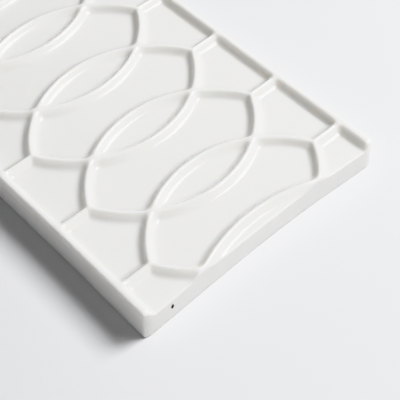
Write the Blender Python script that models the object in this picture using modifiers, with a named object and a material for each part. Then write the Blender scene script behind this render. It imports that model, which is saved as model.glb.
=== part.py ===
"""Relief accent tile: one pressed, glazed and fired ceramic border tile, 75 x 200 mm.

The face is a sunk field between two raised rims along the long sides. A chain of overlapping pointed
ovals stands up from the field, and a short bar joins the tip of each oval to the rim beside it. The
pattern runs off both short ends, so that the next tile in the row carries it on across the joint.

Frame: X along the tile, Y across it, Z up out of the glazed face, origin under the centre of the back.
Units are metres.
"""

import math

import bmesh
import bpy

MM = 0.001

# Driving dimensions of the tile.
TILE_LENGTH = 200 * MM
TILE_WIDTH = 75.4 * MM
TILE_THICKNESS = 9.2 * MM
FIELD_DEPTH = 2.0 * MM
SIDE_DRAFT = 0.45 * MM
EDGE_RADIUS = 0.35 * MM

# The outline isn't a true rectangle: the clay shrinks less at the corners. The short ends hollow in by
# END_BOW, a little off their middle, and the long sides draw in by SIDE_BOW behind the corners. Each
# corner is a quarter of an oval.
END_BOW = 1.2 * MM
END_BOW_CENTRE = 7.0 * MM
END_BOW_POWER = 1.5
SIDE_BOW = 0.45 * MM
SIDE_FLARE_LENGTH = 34.0 * MM
CORNER_ALONG = 0.7 * MM
CORNER_ACROSS = 2.6 * MM

# Driving dimensions of the pattern. The joint is the gap that the pattern steps across between tiles.
OVAL_COUNT = 9
JOINT_WIDTH = 1.6 * MM
OVAL_HALF_LENGTH = 27.1 * MM
OVAL_HALF_WIDTH = 16.3 * MM

# The rib beside each short end belongs to the next tile's first oval. It is flatter than the others.
END_RIB_INSET = 5.1 * MM
END_RIB_CIRCLE = 45 * MM
END_RIB_HALF_LENGTH = 25 * MM

# The cross-sections of the ribs and of the rims' inner sides. A slope falls as (1 - s^a)^b over its
# width, where a sharpens the crest and b widens the fillet that the glaze leaves at the foot.
RIB_HALF_WIDTH = 3.4 * MM
CREST_DROP = 0.15 * MM
RIM_TOP_WIDTH = 1.1 * MM
RIM_SIDE_WIDTH = 2.5 * MM
CREST_POWER = 1.7
FOOT_POWER = 5.4

# A small firing pit in the end face at +X: where it is across the tile, how high, how large and how
# far it leans over.
PIT_Y = -29.2 * MM
PIT_HEIGHT = 4.6 * MM
PIT_SIZE = (0.6 * MM, 0.6 * MM, 1.0 * MM)
PIT_LEAN = math.radians(-20)

# How finely the curves are cut into flats, and how far the helpers run past what they cut or join.
OVAL_SIDE_STEPS = 15
END_RIB_STEPS = 12
RIB_STOPS = (0.0, 0.2, 0.38, 0.62)
RIM_STOPS = (0.1, 0.35, 0.6, 1.0)
END_STEPS = 10
SIDE_STEPS = 4
CORNER_STEPS = 4
EDGE_STEPS = 3
OVERRUN = 4 * MM
ROOT_DEPTH = 1.0 * MM
ROOT_SHOULDER_DEPTH = 0.3 * MM
ROOT_HALF_WIDTH = 1.1 * RIB_HALF_WIDTH
WELD_DISTANCE = 0.001 * MM
FLAT_ANGLE = math.radians(0.1)

# Ribs that cross at one height would leave hair-thin slivers, so their heights step by this little.
CROSSING_STEP = 0.02 * MM
TIP_OVERLAP = 0.3 * MM

FIELD_HEIGHT = TILE_THICKNESS - FIELD_DEPTH
RIM_INNER_Y = TILE_WIDTH / 2 - SIDE_DRAFT - RIM_TOP_WIDTH
RIB_HEIGHT = FIELD_DEPTH - CREST_DROP
PATTERN_PITCH = (TILE_LENGTH + JOINT_WIDTH) / OVAL_COUNT


def clear_scene():
    """Remove whatever the scene holds."""
    for obj in list(bpy.data.objects):
        bpy.data.objects.remove(obj)


def add_collection(name):
    """Make a collection in the scene."""
    collection = bpy.data.collections.new(name)
    bpy.context.scene.collection.children.link(collection)
    return collection


def as_helper(obj):
    """Show a cutter or a guide as wire and keep it out of the model."""
    obj.hide_render = True
    obj.display_type = "WIRE"
    return obj


def glaze_material():
    """White gloss glaze over a white body."""
    material = bpy.data.materials.new("white_gloss_glaze")
    material.use_nodes = True
    shader = material.node_tree.nodes["Principled BSDF"]
    shader.inputs["Base Color"].default_value = (0.86, 0.86, 0.84, 1.0)
    shader.inputs["Roughness"].default_value = 0.12
    shader.inputs["Metallic"].default_value = 0.0
    return material


def fade(stop):
    """Height share of a soft slope at a stop on its way from the crest, 0, to the foot, 1."""
    return (1 - stop**CREST_POWER) ** FOOT_POWER


def oval_side_x(y):
    """How far a side of an oval bulges from the oval's own axis at y, on a circle through both tips."""
    circle = (OVAL_HALF_LENGTH**2 + OVAL_HALF_WIDTH**2) / (2 * OVAL_HALF_WIDTH)
    return OVAL_HALF_WIDTH - circle + math.sqrt(circle**2 - y**2)


def oval_outline(centre_x):
    """The closed line of one oval: down its +X side from tip to tip, and back up the other."""
    turn = math.asin(
        2 * OVAL_HALF_LENGTH * OVAL_HALF_WIDTH / (OVAL_HALF_LENGTH**2 + OVAL_HALF_WIDTH**2)
    )
    circle = OVAL_HALF_LENGTH / math.sin(turn)
    angles = [turn * (1 - 2 * step / OVAL_SIDE_STEPS) for step in range(OVAL_SIDE_STEPS)]
    side = [(oval_side_x(circle * math.sin(a)), circle * math.sin(a)) for a in angles]
    return [(centre_x + x, y) for x, y in side] + [(centre_x - x, -y) for x, y in side]


def end_rib_line(x_side):
    """The arc beside one short end, cut from a wider circle, out to where it leaves the tile."""
    circle_x = TILE_LENGTH / 2 - END_RIB_INSET + END_RIB_CIRCLE
    turn = math.asin(END_RIB_HALF_LENGTH / END_RIB_CIRCLE)
    angles = [turn * (1 - 2 * step / END_RIB_STEPS) for step in range(END_RIB_STEPS + 1)]
    return [
        (x_side * (circle_x - END_RIB_CIRCLE * math.cos(a)), END_RIB_CIRCLE * math.sin(a)) for a in angles
    ]


def rib_section():
    """The rib's cross-section as a guide curve: a soft ridge on a root that sinks into the field."""
    half = [(stop * RIB_HALF_WIDTH, RIB_HEIGHT * fade(stop)) for stop in RIB_STOPS]
    half += [(ROOT_HALF_WIDTH, -ROOT_SHOULDER_DEPTH), (ROOT_HALF_WIDTH, -ROOT_DEPTH)]
    outline = half + [(-x, z) for x, z in reversed(half[1:])]
    return as_helper(flat_curve("rib_section", outline, fill_mode="NONE"))


def flat_curve(name, outline, fill_mode="BOTH", cyclic=True):
    """A 2D curve through the points of an outline."""
    data = bpy.data.curves.new(name, "CURVE")
    data.dimensions = "2D"
    data.fill_mode = fill_mode
    spline = data.splines.new("POLY")
    spline.points.add(len(outline) - 1)
    for point, (x, y) in zip(spline.points, outline):
        point.co = (x, y, 0.0, 1.0)
    spline.use_cyclic_u = cyclic
    obj = bpy.data.objects.new(name, data)
    bpy.context.scene.collection.objects.link(obj)
    return obj


def mesh_from_curve(curve, collection):
    """Replace a curve by the closed mesh that it makes, with its caps welded and made whole."""
    bpy.context.view_layer.update()
    evaluated = curve.evaluated_get(bpy.context.evaluated_depsgraph_get())
    mesh = bpy.data.meshes.new_from_object(evaluated)
    work = bmesh.new()
    work.from_mesh(mesh)
    bmesh.ops.remove_doubles(work, verts=work.verts, dist=WELD_DISTANCE)
    bmesh.ops.dissolve_limit(work, angle_limit=FLAT_ANGLE, verts=work.verts, edges=work.edges)
    bmesh.ops.recalc_face_normals(work, faces=work.faces)
    work.to_mesh(mesh)
    work.free()
    name = curve.name
    matrix = curve.matrix_world.copy()
    bpy.data.objects.remove(curve)
    obj = bpy.data.objects.new(name, mesh)
    obj.matrix_world = matrix
    collection.objects.link(obj)
    return as_helper(obj)


def rib_along(name, line, section, collection, drop, cyclic):
    """A rib that follows a line on the field, its crest a little drop below the others'."""
    curve = flat_curve(name, line, fill_mode="NONE", cyclic=cyclic)
    curve.data.dimensions = "3D"
    curve.data.twist_mode = "Z_UP"
    curve.data.bevel_mode = "OBJECT"
    curve.data.bevel_object = section
    curve.data.use_fill_caps = not cyclic
    curve.location.z = FIELD_HEIGHT - drop
    return mesh_from_curve(curve, collection)


def add_ribs(collection):
    """The ovals, the bars that tie their tips to the rims, and the rib beside each short end."""
    section = rib_section()
    bar_start_y = OVAL_HALF_LENGTH - TIP_OVERLAP
    for x_side, label in ((1, "front"), (-1, "back")):
        rib_along(f"end_rib_{label}", end_rib_line(x_side), section, collection, CROSSING_STEP, False)
    for index in range(OVAL_COUNT):
        centre_x = (index - (OVAL_COUNT - 1) / 2) * PATTERN_PITCH
        outline = oval_outline(centre_x)
        drop = (index % 2) * CROSSING_STEP
        rib_along(f"oval_rib_{index + 1:02d}", outline, section, collection, drop, True)
        for side, label in ((1, "left"), (-1, "right")):
            bar = [(centre_x, side * bar_start_y), (centre_x, side * RIM_INNER_Y)]
            drop = 2 * CROSSING_STEP
            rib_along(f"bar_rib_{index + 1:02d}_{label}", bar, section, collection, drop, False)
    bpy.data.objects.remove(section)


def field_cutter(collection):
    """The channel between the two rims: soft inner sides, down to the flat of the field."""
    half = []
    for stop in RIM_STOPS:
        y = RIM_INNER_Y - stop * RIM_SIDE_WIDTH
        half.append((y, FIELD_HEIGHT + FIELD_DEPTH * fade(stop)))
    first_y, first_z = half[0]
    clear_y = 2 * RIM_INNER_Y - first_y
    clear_z = 2 * TILE_THICKNESS - first_z
    half = [(clear_y, TILE_THICKNESS + 2 * OVERRUN), (clear_y, clear_z)] + half
    outline = half + [(-y, z) for y, z in reversed(half)]
    curve = flat_curve("field_cutter", outline)
    curve.data.extrude = TILE_LENGTH / 2 + 2 * OVERRUN
    curve.rotation_euler = (math.radians(90), 0, math.radians(90))
    return mesh_from_curve(curve, collection)


def end_hollow(y):
    """How far a short end is drawn in at y."""
    off_centre = y - END_BOW_CENTRE
    reach = TILE_WIDTH / 2 - math.copysign(END_BOW_CENTRE, off_centre)
    return END_BOW * max(1 - (off_centre / reach) ** 2, 0.0) ** END_BOW_POWER


def side_hollow(x):
    """How far a long side is drawn in at x: all of SIDE_BOW but for a flare towards each corner."""
    way = min((TILE_LENGTH / 2 - abs(x)) / SIDE_FLARE_LENGTH, 1.0)
    return SIDE_BOW * math.sin(way * math.pi / 2) ** 2


def quarter_outline():
    """The outline of one quarter before the ends and sides draw in, from the middle of the short end
    round the corner and along the long side."""
    corner_x = TILE_LENGTH / 2 - CORNER_ALONG
    corner_y = TILE_WIDTH / 2 - CORNER_ACROSS
    points = [(TILE_LENGTH / 2, corner_y * 2 * step / END_STEPS) for step in range(END_STEPS // 2)]
    for step in range(CORNER_STEPS + 1):
        angle = math.radians(90 * step / CORNER_STEPS)
        x = corner_x + CORNER_ALONG * math.cos(angle)
        y = corner_y + CORNER_ACROSS * math.sin(angle)
        points.append((x, y))
    for step in range(1, SIDE_STEPS + 1):
        points.append((TILE_LENGTH / 2 - SIDE_FLARE_LENGTH * step / SIDE_STEPS, TILE_WIDTH / 2))
    return points


def tile_outline():
    """The whole plan outline, four mirrored quarters with the ends and the sides drawn in."""
    quarter = quarter_outline()
    half = [(x, -y) for x, y in reversed(quarter[1:])] + quarter
    points = []
    for x, y in half + [(-x, y) for x, y in reversed(half)]:
        on_side = abs(x) <= TILE_LENGTH / 2 - CORNER_ALONG
        end_push = 0.0 if on_side else end_hollow(y)
        points.append((x - math.copysign(end_push, x), y - math.copysign(side_hollow(x), y)))
    return points


def tile_envelope(collection):
    """The tile's outside, as if its face were not sunk: soft corners and edges, and long sides that
    lean in by SIDE_DRAFT towards the face, as the press needs."""
    curve = flat_curve("tile_envelope", tile_outline())
    curve.data.extrude = TILE_THICKNESS / 2
    curve.location.z = TILE_THICKNESS / 2
    envelope = mesh_from_curve(curve, collection)
    for vertex in envelope.data.vertices:
        if vertex.co.z > 0:
            vertex.co.y *= 1 - SIDE_DRAFT / (TILE_WIDTH / 2)
    weights = envelope.data.attributes.new("bevel_weight_edge", "FLOAT", "EDGE")
    for edge in envelope.data.edges:
        first_z, second_z = (envelope.data.vertices[index].co.z for index in edge.vertices)
        if first_z * second_z > 0:
            weights.data[edge.index].value = 1.0
    bevel = envelope.modifiers.new("soft_edges", "BEVEL")
    bevel.limit_method = "WEIGHT"
    bevel.width = EDGE_RADIUS
    bevel.segments = EDGE_STEPS
    return envelope


def pit_cutter(collection):
    """The pit left by a pinhole in the glaze."""
    mesh = bpy.data.meshes.new("pit_cutter")
    work = bmesh.new()
    bmesh.ops.create_uvsphere(work, u_segments=8, v_segments=6, radius=0.5)
    work.to_mesh(mesh)
    work.free()
    obj = bpy.data.objects.new("pit_cutter", mesh)
    obj.location = (TILE_LENGTH / 2 - end_hollow(PIT_Y), PIT_Y, PIT_HEIGHT)
    obj.rotation_euler.x = PIT_LEAN
    obj.scale = PIT_SIZE
    collection.objects.link(obj)
    return as_helper(obj)


def tile_blank(collection):
    """The block of body that the face is pressed into, larger than the tile all round."""
    bottom = -OVERRUN
    top = TILE_THICKNESS + OVERRUN
    bpy.ops.mesh.primitive_cube_add(size=1, location=(0, 0, (bottom + top) / 2))
    blank = bpy.context.object
    blank.name = "accent_tile"
    blank.dimensions = (TILE_LENGTH + 2 * OVERRUN, TILE_WIDTH + 2 * OVERRUN, top - bottom)
    bpy.ops.object.transform_apply(location=False, rotation=False, scale=True)
    for holder in list(blank.users_collection):
        holder.objects.unlink(blank)
    collection.objects.link(blank)
    return blank


def combine(obj, operation, other):
    """Cut, join or trim an object by another one, or by all of a collection."""
    modifier = obj.modifiers.new(f"{operation.lower()}_{other.name}", "BOOLEAN")
    modifier.operation = operation
    if isinstance(other, bpy.types.Collection):
        modifier.operand_type = "COLLECTION"
        modifier.collection = other
    else:
        modifier.object = other


def main():
    clear_scene()
    model = add_collection("accent_tile")
    ribs = add_collection("ribs")
    cutters = add_collection("cutters")
    add_ribs(ribs)
    tile = tile_blank(model)
    tile.data.materials.append(glaze_material())
    combine(tile, "DIFFERENCE", field_cutter(cutters))
    combine(tile, "UNION", ribs)
    combine(tile, "INTERSECT", tile_envelope(cutters))
    combine(tile, "DIFFERENCE", pit_cutter(cutters))


main()
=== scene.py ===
# %% [markdown]
# # A white relief border tile
#
# The real thing is one piece of pressed and fired clay under a white gloss glaze, 75 mm wide and 200 mm
# long. Two raised rims run along its long sides. Between them lies a sunk field with a chain of pointed
# ovals on it, and a short bar ties the tip of each oval to the rim beside it. The pattern runs off both
# ends, so that the next tile carries it on.
#
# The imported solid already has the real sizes. This lesson makes the finer tile that stands for it in the
# picture: softer slopes, the glaze, a bare back, and then the floor, the light and the camera.

import math

import bmesh
import bpy
import numpy as np
from mathutils import Matrix, Vector


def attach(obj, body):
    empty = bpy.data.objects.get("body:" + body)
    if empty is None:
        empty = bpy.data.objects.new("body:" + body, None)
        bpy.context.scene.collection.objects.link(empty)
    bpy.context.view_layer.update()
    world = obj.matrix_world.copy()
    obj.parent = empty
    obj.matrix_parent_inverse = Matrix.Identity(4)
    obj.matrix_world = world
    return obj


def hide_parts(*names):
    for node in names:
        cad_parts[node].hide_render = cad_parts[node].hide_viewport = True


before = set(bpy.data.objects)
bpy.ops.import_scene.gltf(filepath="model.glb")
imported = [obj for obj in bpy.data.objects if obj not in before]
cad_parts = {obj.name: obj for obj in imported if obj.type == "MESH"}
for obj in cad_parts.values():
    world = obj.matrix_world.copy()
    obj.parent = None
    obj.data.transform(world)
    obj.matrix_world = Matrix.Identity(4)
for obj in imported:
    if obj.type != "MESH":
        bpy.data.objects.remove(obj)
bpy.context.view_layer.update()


# %% [markdown]
# ## The sizes
#
# These are the same named sizes that the solid was built from, in metres. A tile maker knows them from
# the press tool: the outside of the tile, how deep the field is sunk, and the pattern's pitch. The pitch
# comes from the length and the joint between tiles, so that the chain of ovals stays even across it.

# %% The sizes
MM = 0.001
TILE_LENGTH = 200 * MM
TILE_WIDTH = 75.4 * MM
TILE_THICKNESS = 9.2 * MM
FIELD_DEPTH = 2.0 * MM
SIDE_DRAFT = 0.45 * MM
END_BOW = 1.2 * MM
END_BOW_CENTRE = 7.0 * MM
END_BOW_POWER = 1.5
SIDE_BOW = 0.45 * MM
SIDE_FLARE_LENGTH = 34.0 * MM
CORNER_ALONG = 0.7 * MM
CORNER_ACROSS = 2.6 * MM

OVAL_COUNT = 9
JOINT_WIDTH = 1.6 * MM
OVAL_HALF_LENGTH = 27.1 * MM
OVAL_HALF_WIDTH = 16.3 * MM
PATTERN_PITCH = (TILE_LENGTH + JOINT_WIDTH) / OVAL_COUNT
OVAL_CIRCLE = (OVAL_HALF_LENGTH**2 + OVAL_HALF_WIDTH**2) / (2 * OVAL_HALF_WIDTH)
END_RIB_INSET = 5.1 * MM
END_RIB_CIRCLE = 45 * MM

RIB_HALF_WIDTH = 3.4 * MM
CREST_DROP = 0.15 * MM
RIM_TOP_WIDTH = 1.1 * MM
RIM_SIDE_WIDTH = 2.5 * MM
CREST_POWER = 1.7
FOOT_POWER = 5.4
print(f"one oval every {PATTERN_PITCH / MM:.2f} mm, each side on a circle of {OVAL_CIRCLE / MM:.1f} mm")

# %% [markdown]
# ## The slope of the glaze
#
# Every raised line has the same kind of slope. Its crest is narrow and its foot is wide, because glaze is
# a thick liquid in the kiln: it pulls thin over an edge and settles in a corner. One formula gives the
# share of the height that is left at each point of the slope, and two powers set how sharp the crest is
# and how far the foot runs out. A drawn curve would do as well, but a formula can be used for a hundred
# thousand points at once.


# %% The slope of the glaze
def slope_share(way):
    """Share of the height left along a slope, where way runs from 0 at the crest to 1 at the foot."""
    way = np.clip(way, 0.0, 1.0)
    return (1 - way**CREST_POWER) ** FOOT_POWER


print("height left at each quarter of the slope:", np.round(slope_share(np.linspace(0, 1, 5)), 3))

# %% [markdown]
# ## How far a point is from the pattern
#
# The pattern could be modelled rib by rib and joined. Here it is done as a carver would lay it out: for
# any point of the face, measure how far it is from the nearest line of the drawing, and raise the point
# by the slope at that distance. Where two ribs cross, their slopes blend by themselves into the soft
# hollows that the glaze leaves there.
#
# Each side of an oval is part of a circle through both of its tips. Off the end of that arc the nearest
# point is a tip. The rib close along each short end belongs to the next tile's first oval, so it is not
# part of the chain: it is a flatter arc, on a circle of its own.


# %% Distance to the lines of the pattern
def distance_to_oval_side(x, y, centre_x, side):
    """Distance to one side of an oval: side is 1 for the side at +X and -1 for the other."""
    circle_x = centre_x + side * (OVAL_HALF_WIDTH - OVAL_CIRCLE)
    reach = np.hypot(x - circle_x, y)
    beside_arc = (side * (x - circle_x) > 0) & (np.abs(y) * OVAL_CIRCLE <= OVAL_HALF_LENGTH * reach)
    to_tip = np.hypot(x - centre_x, np.abs(y) - OVAL_HALF_LENGTH)
    return np.where(beside_arc, np.abs(reach - OVAL_CIRCLE), to_tip)


def distance_to_bars(x, y, centre_x):
    """Distance to the two bars that run outwards from the tips of an oval."""
    return np.hypot(x - centre_x, np.minimum(np.abs(y) - OVAL_HALF_LENGTH, 0.0))


def distance_to_end_ribs(x, y):
    """Distance to the flatter rib that runs close along each short end."""
    circle_x = TILE_LENGTH / 2 - END_RIB_INSET + END_RIB_CIRCLE
    return np.abs(np.hypot(np.abs(x) - circle_x, y) - END_RIB_CIRCLE)


def relief_share(x, y):
    """How far the face is raised from the field, from 0 on the field to 1 at the top of the rims."""
    rim_line = TILE_WIDTH / 2 - SIDE_DRAFT - RIM_TOP_WIDTH
    left_low = 1 - slope_share((rim_line - np.abs(y)) / RIM_SIDE_WIDTH)
    rib_share = 1 - CREST_DROP / FIELD_DEPTH
    left_low = left_low * (1 - rib_share * slope_share(distance_to_end_ribs(x, y) / RIB_HALF_WIDTH))
    for index in range(OVAL_COUNT):
        centre_x = (index - (OVAL_COUNT - 1) / 2) * PATTERN_PITCH
        near = [distance_to_oval_side(x, y, centre_x, side) for side in (1, -1)]
        near.append(distance_to_bars(x, y, centre_x))
        rib = slope_share(np.minimum.reduce(near) / RIB_HALF_WIDTH)
        left_low = left_low * (1 - rib_share * rib)
    return 1 - left_low


probe_x = np.array([0, OVAL_HALF_WIDTH, PATTERN_PITCH / 2])
probe_y = np.array([TILE_WIDTH / 2, 0, 0])
print("raised on the rim, on a crest and on the field:", np.round(relief_share(probe_x, probe_y), 3))

# %% [markdown]
# ## A grid that follows the tile's outline
#
# The face starts as a sheet of squares a little under half a millimetre across. That gives each slope of
# a rib seven of them, and keeps the tile under 200 thousand triangles. Towards the edge the rows close
# up, so that its small radius gets enough of them. Blender's grid tool makes even squares only, so the
# rows are placed here.

# %% Rows of the grid
CELL = 0.45 * MM
EDGE_RADIUS = 0.35 * MM
EDGE_ROWS = 6


def row_positions(half_size):
    """Positions of the rows along one axis: even in the middle, closing up at the rounded edges."""
    turns = np.linspace(0, math.pi / 2, EDGE_ROWS + 1)
    edge = half_size - EDGE_RADIUS * (1 - np.cos(turns))
    count = round(2 * edge[-1] / CELL)
    middle = np.linspace(-edge[-1], edge[-1], count + 1)
    return np.concatenate([-edge, middle[1:-1], edge[::-1]])


columns = row_positions(TILE_LENGTH / 2)
rows = row_positions(TILE_WIDTH / 2)
print(f"{len(columns)} x {len(rows)} points on the face")

# %% [markdown]
# A pressed tile is never quite a rectangle, as clay shrinks unevenly while it dries. Its corners are
# round, the short ends are hollow by a little over a millimetre, deepest just off their middle, and the
# long sides draw in by half a millimetre behind the corners. The square grid is bent to that outline.
# Each corner's rectangle turns into a quarter of an oval, with the formula that turns a square into a
# disc. Then the edges are pushed in, and the push fades with the distance from the edge, so that the
# pattern stays straight.


# %% Bending the grid to the outline
END_FADE = 10 * MM
SIDE_FADE = 4 * MM


def corner_square(x, y):
    """Where a point is in its corner's rectangle: from 0 at the inner sides to 1 at the outer ones."""
    along = (np.abs(x) - TILE_LENGTH / 2) / CORNER_ALONG + 1
    across = (np.abs(y) - TILE_WIDTH / 2) / CORNER_ACROSS + 1
    return along, across


def round_corners(x, y):
    """Move the points of each corner's rectangle into a quarter of an oval."""
    along, across = (np.clip(part, 0, 1) for part in corner_square(x, y))
    shift_x = along * (np.sqrt(1 - across**2 / 2) - 1) * CORNER_ALONG
    shift_y = across * (np.sqrt(1 - along**2 / 2) - 1) * CORNER_ACROSS
    return x + np.sign(x) * shift_x, y + np.sign(y) * shift_y


def distance_from_edge(x, y):
    """Distance in from the round-cornered outline."""
    along, across = corner_square(x, y)
    reach = np.hypot(along, across)
    steepness = np.maximum(np.hypot(along / CORNER_ALONG, across / CORNER_ACROSS), 1.0)
    in_corner = (1 - reach) * reach / steepness
    straight = np.minimum(TILE_LENGTH / 2 - np.abs(x), TILE_WIDTH / 2 - np.abs(y))
    return np.where((along > 0) & (across > 0), np.minimum(in_corner, straight), straight)


def hollow_edges(x, y):
    """Push the short ends and the long sides in between the corners."""
    off_centre = y - END_BOW_CENTRE
    way = off_centre / (TILE_WIDTH / 2 - np.sign(off_centre) * END_BOW_CENTRE)
    end_push = END_BOW * (1 - way**2) ** END_BOW_POWER * np.exp((np.abs(x) - TILE_LENGTH / 2) / END_FADE)
    way = np.clip((TILE_LENGTH / 2 - np.abs(x)) / SIDE_FLARE_LENGTH, 0, 1)
    side_push = SIDE_BOW * np.sin(way * math.pi / 2) ** 2 * np.exp((np.abs(y) - TILE_WIDTH / 2) / SIDE_FADE)
    return x - np.sign(x) * end_push, y - np.sign(y) * side_push


grid_x, grid_y = np.meshgrid(columns, rows)
face_x, face_y = round_corners(grid_x.ravel(), grid_y.ravel())
edge_distance = np.maximum(distance_from_edge(face_x, face_y), 0.0)
end_distance = TILE_LENGTH / 2 - np.abs(face_x)
face_x, face_y = hollow_edges(face_x, face_y)
print(f"the outline hollows in by {(TILE_LENGTH / 2 - face_x[np.abs(face_y) < MM].max()) / MM:.2f} mm")

# %% [markdown]
# ## Raising the face
#
# Now each point gets its height: the field, plus the relief, less the roll of the edge. Over the last
# millimetre and a half before a short end the relief sinks by a third, as glaze draws back from an edge.
# The long sides lean in by half a millimetre from the back to the face, so that the tile leaves the
# press. The short ends stand upright.

# %% Raising the face
FIELD_HEIGHT = TILE_THICKNESS - FIELD_DEPTH
END_SINK_LENGTH = 1.6 * MM
END_SINK_SHARE = 0.35


def lean(x, y, z):
    """Draw the long sides in with the height."""
    return x, y * (1 - z / TILE_THICKNESS * SIDE_DRAFT / (TILE_WIDTH / 2)), z


near_end = 1 - np.clip(end_distance / END_SINK_LENGTH, 0, 1)
raised = relief_share(face_x, face_y) * (1 - END_SINK_SHARE * near_end**2)
roll_in = np.maximum(EDGE_RADIUS - edge_distance, 0.0)
roll_drop = EDGE_RADIUS - np.sqrt(EDGE_RADIUS**2 - np.minimum(roll_in, EDGE_RADIUS) ** 2)
face_z = FIELD_HEIGHT + FIELD_DEPTH * raised - roll_drop
face_points = np.column_stack(lean(face_x, face_y, face_z))
print(f"the face lies between {face_z.min() / MM:.2f} and {face_z.max() / MM:.2f} mm")

# %% [markdown]
# ## The sides and the back
#
# The outermost points of the grid are carried down the sides in rings, round a small radius and onto the
# back, and one flat face closes it. The first ring lies close under the rolled edge: that keeps the
# smooth shading of the roll from bleeding over the flat side.

# %% Rings down the sides
BACK_RADIUS = EDGE_RADIUS
BACK_RINGS = 4
HOLD = 0.08 * MM

wide = len(columns)
high = len(rows)
numbers = np.arange(wide * high).reshape(high, wide)
border = np.concatenate([numbers[0, :-1], numbers[:-1, -1], numbers[-1, :0:-1], numbers[:0:-1, 0]])

border_x, border_y, border_z = face_x[border], face_y[border], face_z[border]
rings = [(border_z - HOLD, 0.0)]
low = BACK_RADIUS + HOLD
for share in (0.5, 0.0):
    rings.append((low + share * (border_z - HOLD - low), 0.0))
for turn in np.linspace(0, math.pi / 2, BACK_RINGS):
    rings.append((BACK_RADIUS * (1 - math.sin(turn)) + 0 * border_z, BACK_RADIUS * (1 - math.cos(turn))))
print(len(rings), "rings of", len(border), "points")


# %% The whole surface as one mesh
def ring_points(heights, inset):
    """One ring round the tile, drawn in by inset."""
    x = border_x * (1 - inset / (TILE_LENGTH / 2))
    y = border_y * (1 - inset / (TILE_WIDTH / 2))
    return np.column_stack(lean(x, y, heights))


points = [face_points] + [ring_points(heights, inset) for heights, inset in rings]
cell_corners = (numbers[:-1, :-1], numbers[:-1, 1:], numbers[1:, 1:], numbers[1:, :-1])
quads = [np.column_stack([corner.ravel() for corner in cell_corners])]
upper = border
for step in range(len(rings)):
    lower = wide * high + step * len(border) + np.arange(len(border))
    quads.append(np.column_stack([upper, lower, np.roll(lower, -1), np.roll(upper, -1)]))
    upper = lower

back_face = upper[::-1].tolist()
surface = bpy.data.meshes.new("tile_surface")
surface.from_pydata(np.concatenate(points).tolist(), [], np.concatenate(quads).tolist() + [back_face])
surface.polygons.foreach_set("use_smooth", np.arange(len(surface.polygons)) < len(surface.polygons) - 1)
tile = bpy.data.objects.new("glazed_tile", surface)
bpy.context.scene.collection.objects.link(tile)

CUBIC_CENTIMETRE = 0.01**3
solid = bmesh.new()
solid.from_mesh(surface)
open_edges = sum(len(edge.link_faces) != 2 for edge in solid.edges)
volume = solid.calc_volume() / CUBIC_CENTIMETRE
solid.free()
print(f"{len(surface.polygons)} faces, {open_edges} open edges, {volume:.1f} cm3")

# %% [markdown]
# ## What the glaze needs to know
#
# The glaze will depend on where the tile is raised and on where its sides are. Both are already known
# from the grid, so they are stored on the mesh as attributes and the material reads them back. Painting
# the same masks by hand would have to be done again after each change of the relief.

# %% Where the glaze is thin, thick or dull, and where painted shade darkens the sides
ring_points = len(rings) * len(border)
raised_all = np.concatenate([raised, np.tile(raised[border], len(rings))])
side_all = np.concatenate([np.clip(1 - edge_distance / EDGE_RADIUS, 0, 1), np.ones(ring_points)])
for name, values in (("raised", raised_all), ("side", side_all)):
    layer = surface.attributes.new(name, "FLOAT", "POINT")
    layer.data.foreach_set("value", values.astype(np.float32))
print("the face is raised over", f"{(raised > 0.5).mean():.0%} of its points")

# %% [markdown]
# ## A pinhole
#
# A bubble of gas broke through the glaze of one short end in the kiln and left a small dark pit. It could
# be a painted spot, but a real dent catches the light on its lower lip. A small stretched ball is cut out
# of the side with a Boolean modifier.

# %% The pinhole
PIT_Y = -29.2 * MM
PIT_HEIGHT = 4.6 * MM
PIT_SIZE = (0.6 * MM, 0.6 * MM, 1.0 * MM)
PIT_LEAN = math.radians(-20)

pit_x = float(hollow_edges(np.array([TILE_LENGTH / 2]), np.array([PIT_Y]))[0][0])
PIT_PLACE = (pit_x, PIT_Y, PIT_HEIGHT)
bpy.ops.mesh.primitive_uv_sphere_add(segments=24, ring_count=12, radius=0.5, location=PIT_PLACE,
                                     rotation=(PIT_LEAN, 0, 0), scale=PIT_SIZE)
pit = bpy.context.object
pit.data.polygons.foreach_set("use_smooth", [True] * len(pit.data.polygons))
dent = tile.modifiers.new("pinhole", "BOOLEAN")
dent.operation = "DIFFERENCE"
dent.object = pit
dented = bpy.data.meshes.new_from_object(tile.evaluated_get(bpy.context.evaluated_depsgraph_get()))
tile.modifiers.clear()
tile.data = dented
bpy.data.objects.remove(pit)
print("faces before and after the pinhole:", len(surface.polygons), len(dented.polygons))

# %% [markdown]
# ## A dial for shader maths
#
# A material is a network of small nodes. Wiring a Math node for each plus and minus soon hides what is
# meant, so one small class stands for a socket's value. Its operators add the Math nodes, and the line of
# Python reads as the sum that it is. Any other node comes from one method of the mixing bench below.


# %% A dial for shader maths
class Dial:
    """A value in a material that can be used in sums."""

    def __init__(self, bench, socket):
        self.bench = bench
        self.socket = socket

    def sum_node(self, operation, first, second):
        return self.bench.add("ShaderNodeMath", {"operation": operation}, {0: first, 1: second})

    def __add__(self, other):
        return self.sum_node("ADD", self, other)

    def __radd__(self, other):
        return self.sum_node("ADD", other, self)

    def __sub__(self, other):
        return self.sum_node("SUBTRACT", self, other)

    def __rsub__(self, other):
        return self.sum_node("SUBTRACT", other, self)

    def __mul__(self, other):
        return self.sum_node("MULTIPLY", self, other)

    def __rmul__(self, other):
        return self.sum_node("MULTIPLY", other, self)


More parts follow.
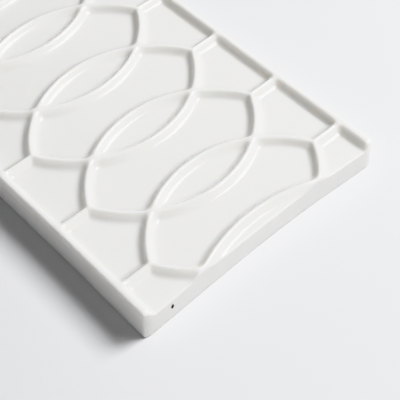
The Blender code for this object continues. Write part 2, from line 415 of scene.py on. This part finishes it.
class Bench:
    """The mixing bench of one material."""

    def __init__(self, name):
        self.material = bpy.data.materials.new(name)
        self.material.use_nodes = True
        self.tree = self.material.node_tree
        self.shader = self.tree.nodes["Principled BSDF"]

    def add(self, kind, settings, inputs, output=0):
        """Add a node: first its settings, then the values or dials of its sockets. Gives one output."""
        node = self.tree.nodes.new(kind)
        for name, value in settings.items():
            setattr(node, name, value)
        self.feed(node, inputs)
        return Dial(self, node.outputs[output])

    def feed(self, node, inputs):
        """Give a node's sockets their values or dials."""
        for name, value in inputs.items():
            if isinstance(value, Dial):
                self.tree.links.new(value.socket, node.inputs[name])
            else:
                node.inputs[name].default_value = value


print("a Dial adds Math nodes for + - *")

# %% [markdown]
# ## White gloss glaze
#
# The glaze is opaque white and nearly smooth. What gives it away as glaze is small: it is a little thin and
# warm on the crests and a little thick and cool at the foot of a slope, it lies in very shallow ripples
# that bend the reflections, and on the sides, where only some of it runs, it is duller. The sides are also
# coloured darker than the face: partly the thinner glaze, partly painted shade for the light that reaches
# them less.
#
# Light goes a couple of millimetres into glaze and white body before it comes out again, so the small
# relief looks soft: that is the shader's subsurface share. The inside of the pit is painted near-black as
# painted shade, and the back is bare.

# %% The glaze
glaze = Bench("white_gloss_glaze")
place = glaze.add("ShaderNodeTexCoord", {}, {}, "Object")
height = glaze.add("ShaderNodeAttribute", {"attribute_name": "raised"}, {}, "Fac")
side = glaze.add("ShaderNodeAttribute", {"attribute_name": "side"}, {}, "Fac")


def noise(per_metre, detail):
    """Noise with so many spots to the metre."""
    inputs = {"Vector": place, "Scale": per_metre, "Detail": detail}
    return glaze.add("ShaderNodeTexNoise", {}, inputs, "Fac")


ripple = noise(per_metre=70.0, detail=1.0)
grain = noise(per_metre=900.0, detail=3.0)
print("the glaze is given its place, two masks and two noises")

# %% The colours of the glaze
COOL_THICK = (0.882, 0.880, 0.865, 1.0)
WARM_THIN = (0.885, 0.880, 0.858, 1.0)
# The sides' colour is partly thinner glaze and partly painted shade.
SIDE_GLAZE_AND_PAINTED_SHADE = (0.810, 0.805, 0.793, 1.0)
# The near-black inside of the pit is painted shade.
PIT_PAINTED_SHADE = (0.030, 0.026, 0.020, 1.0)
BARE_CLAY = (0.740, 0.705, 0.640, 1.0)
FIRST, SECOND, MIXED = 6, 7, 2


def blend(mask, first, second):
    """A colour that goes from the first to the second where the mask goes from 0 to 1."""
    inputs = {"Factor": mask, FIRST: first, SECOND: second}
    return glaze.add("ShaderNodeMix", {"data_type": "RGBA"}, inputs, MIXED)


def fade_out(value, start, end, curve):
    """A mask that is 1 up to the start and 0 from the end on."""
    inputs = {"Value": value, "From Min": start, "From Max": end, "To Min": 1.0, "To Max": 0.0}
    return glaze.add("ShaderNodeMapRange", {"interpolation_type": curve}, inputs)


def vector_math(operation, first, second, output):
    """One Vector Math node."""
    return glaze.add("ShaderNodeVectorMath", {"operation": operation}, {0: first, 1: second}, output)


# The pit is taller than it is wide, so heights are squashed before the distance to it is measured.
PIT_SQUASH = PIT_SIZE[0] / PIT_SIZE[2]
pit_centre = (PIT_PLACE[0], PIT_PLACE[1], PIT_PLACE[2] * PIT_SQUASH)
squashed = vector_math("MULTIPLY", place, (1.0, 1.0, PIT_SQUASH), "Vector")
from_pit = vector_math("DISTANCE", squashed, pit_centre, "Value")
in_pit = fade_out(from_pit, start=0.35 * MM, end=0.55 * MM, curve="SMOOTHSTEP")
above_back = glaze.add("ShaderNodeSeparateXYZ", {}, {"Vector": place}, "Z")
bare = fade_out(above_back, start=0.10 * MM, end=0.20 * MM, curve="LINEAR")

tint = blend(height, COOL_THICK, WARM_THIN)
# Painted shade, together with the thinner glaze, darkens the sides.
tint = blend(side, tint, SIDE_GLAZE_AND_PAINTED_SHADE)
# Painted shade fills the pit.
tint = blend(in_pit, tint, PIT_PAINTED_SHADE)
tint = blend(bare, tint, BARE_CLAY)
print("the colours take", len(glaze.tree.nodes), "nodes so far")

# %% The gloss and the depth of the glaze
FACE_DULLNESS = 0.16
SIDE_DULLNESS = 0.25
GRAIN_DULLNESS = 0.1
BARE_DULLNESS = 0.4
RIPPLE_DEPTH = 0.3 * MM
GRAIN_DEPTH = 0.05 * MM
LIGHT_DEPTH = 2.3 * MM
DEPTH_BY_COLOUR = (1.0, 0.95, 0.9)

grain_dullness = (grain - 0.5) * side * GRAIN_DULLNESS
dullness = FACE_DULLNESS + side * SIDE_DULLNESS + grain_dullness + bare * BARE_DULLNESS
rippled = glaze.add("ShaderNodeBump", {}, {"Strength": 0.35, "Distance": RIPPLE_DEPTH, "Height": ripple})
grained = glaze.add("ShaderNodeBump", {}, {"Strength": 0.3, "Distance": GRAIN_DEPTH, "Height": grain * side,
                                           "Normal": rippled})
glaze.feed(glaze.shader, {"Base Color": tint, "Roughness": dullness, "Normal": grained, "IOR": 1.5,
                          "Coat Weight": 0.3, "Coat Roughness": 0.05, "Subsurface Weight": 1.0,
                          "Subsurface Radius": DEPTH_BY_COLOUR, "Subsurface Scale": LIGHT_DEPTH})
tile.data.materials.clear()
tile.data.materials.append(glaze.material)
print("the glaze has", len(glaze.tree.nodes), "nodes")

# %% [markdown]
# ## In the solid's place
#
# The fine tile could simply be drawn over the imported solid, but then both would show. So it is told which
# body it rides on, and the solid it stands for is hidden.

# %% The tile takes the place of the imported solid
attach(tile, "root")
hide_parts("accent_tile")
print("the glazed tile stands for accent_tile")

# %% [markdown]
# ## The floor
#
# A studio sweep is a wide sheet of matte pale paper. One plane does for it, as it fills the picture. It
# lies a hair below the tile's back, because two faces at one height would flicker.

# %% The floor
FLOOR_WIDTH = 3.0
FLOOR_GAP = 0.02 * MM
PALE_PAPER = (0.83, 0.833, 0.845, 1.0)

bpy.ops.mesh.primitive_plane_add(size=FLOOR_WIDTH, location=(0, 0, -FLOOR_GAP))
floor = bpy.context.object
floor.name = "studio_floor"
paper = Bench("pale_paper")
paper.feed(paper.shader, {"Base Color": PALE_PAPER, "Roughness": 0.85})
floor.data.materials.append(paper.material)
print(f"the floor is {FLOOR_WIDTH:.0f} m wide")

# %% [markdown]
# ## The light
#
# The shadow in the photo tells where the light was. It falls to the left of the picture and a little
# towards the viewer, and it is not quite as long as the tile is thick, so a soft box stood to the right,
# a little behind the tile and at about 50 degrees. The blur of the shadow's edge gives the box's size.
# The bars carry two thin bright lines each, which only a second, smaller light a little more to the front
# can put there: a window, say. A white card near the front corner lifts the long side that faces away
# from the box, and the rest of the room gives a weak even light.
#
# White on white is hard to expose: the lit slopes are brighter than the paper and must still not burn
# out. The neutral view transform rolls the brightest tones off as a camera does, and leaves the rest be.
#
# All turns are counted from the picture's right-hand side, so that a light stays where it is in the
# picture if the camera's turn is corrected.


# %% A soft box
CAMERA_TURN = math.radians(49.38)


def direction(turn, height):
    """The way to a light: degrees turned from the picture's right towards its back, and degrees up."""
    turn = CAMERA_TURN + math.radians(turn)
    return Vector((math.cos(turn), math.sin(turn), math.tan(math.radians(height)))).normalized()


def soft_box(name, towards, distance, size, watts, target):
    """A square area light that lies in the direction towards and faces the target."""
    data = bpy.data.lights.new(name, "AREA")
    data.shape = "SQUARE"
    data.size = size
    data.energy = watts
    lamp = bpy.data.objects.new(name, data)
    lamp.matrix_world = (Matrix.Translation(Vector(target) + towards * distance)
                         @ towards.to_track_quat("Z", "Y").to_matrix().to_4x4())
    bpy.context.scene.collection.objects.link(lamp)
    print(f"{name}: {watts} W from a box of {size} m, {distance} m away")


# %% The lights
SHOWN_PART = (80 * MM, 0.0, 0.0)
NEAR_CORNER = (TILE_LENGTH / 2, -TILE_WIDTH / 2, 0.0)

soft_box("key_soft_box", direction(turn=19.0, height=48.0),
         distance=0.75, size=0.315, watts=6.8, target=SHOWN_PART)
soft_box("far_window", direction(turn=-8.0, height=51.0),
         distance=1.2, size=0.22, watts=1.8, target=SHOWN_PART)
soft_box("fill_reflector", direction(turn=-116.57, height=16.6),
         distance=0.35, size=0.3, watts=0.3, target=NEAR_CORNER)

room = bpy.data.worlds.new("pale_room")
room.use_nodes = True
background = room.node_tree.nodes["Background"]
background.inputs["Color"].default_value = (1.0, 1.0, 1.0, 1.0)
background.inputs["Strength"].default_value = 0.09
bpy.context.scene.world = room
bpy.context.scene.view_settings.view_transform = "Khronos PBR Neutral"

# %% [markdown]
# ## The camera
#
# The tile was seen from close by and from above its near corner, with a lens of about 100 mm on a
# full-frame body. These values come from matching the edges of the tile and the crests of the pattern.

# %% The camera
CAMERA_HEIGHT_ANGLE = math.radians(51.7)
CAMERA_ROLL = math.radians(-2.345)
CAMERA_DISTANCE = 284.8 * MM
LOOK_AT = Vector((78.83 * MM, -1.63 * MM, 0.0))
FOCAL_PIXELS = 1149.4
PICTURE_PIXELS = 400
HALF_A_PIXEL = 0.5 / PICTURE_PIXELS

to_the_right = Vector((math.cos(CAMERA_TURN), math.sin(CAMERA_TURN), 0.0))
back = Vector((math.sin(CAMERA_TURN) * math.cos(CAMERA_HEIGHT_ANGLE),
               -math.cos(CAMERA_TURN) * math.cos(CAMERA_HEIGHT_ANGLE),
               math.sin(CAMERA_HEIGHT_ANGLE)))
upward = back.cross(to_the_right)
right = math.cos(CAMERA_ROLL) * to_the_right + math.sin(CAMERA_ROLL) * upward
upward = back.cross(right)
lens = bpy.data.cameras.new("camera")
lens.sensor_width = 36.0
lens.lens = FOCAL_PIXELS / PICTURE_PIXELS * lens.sensor_width
lens.clip_start = 0.01
lens.shift_x = -HALF_A_PIXEL
lens.shift_y = HALF_A_PIXEL
camera = bpy.data.objects.new("camera", lens)
camera.matrix_world = Matrix.Translation(LOOK_AT + back * CAMERA_DISTANCE) @ Matrix(
    (right, upward, back)).transposed().to_4x4()
bpy.context.scene.collection.objects.link(camera)
bpy.context.scene.camera = camera
print(f"a {lens.lens:.0f} mm lens, {CAMERA_DISTANCE:.3f} m from the tile")
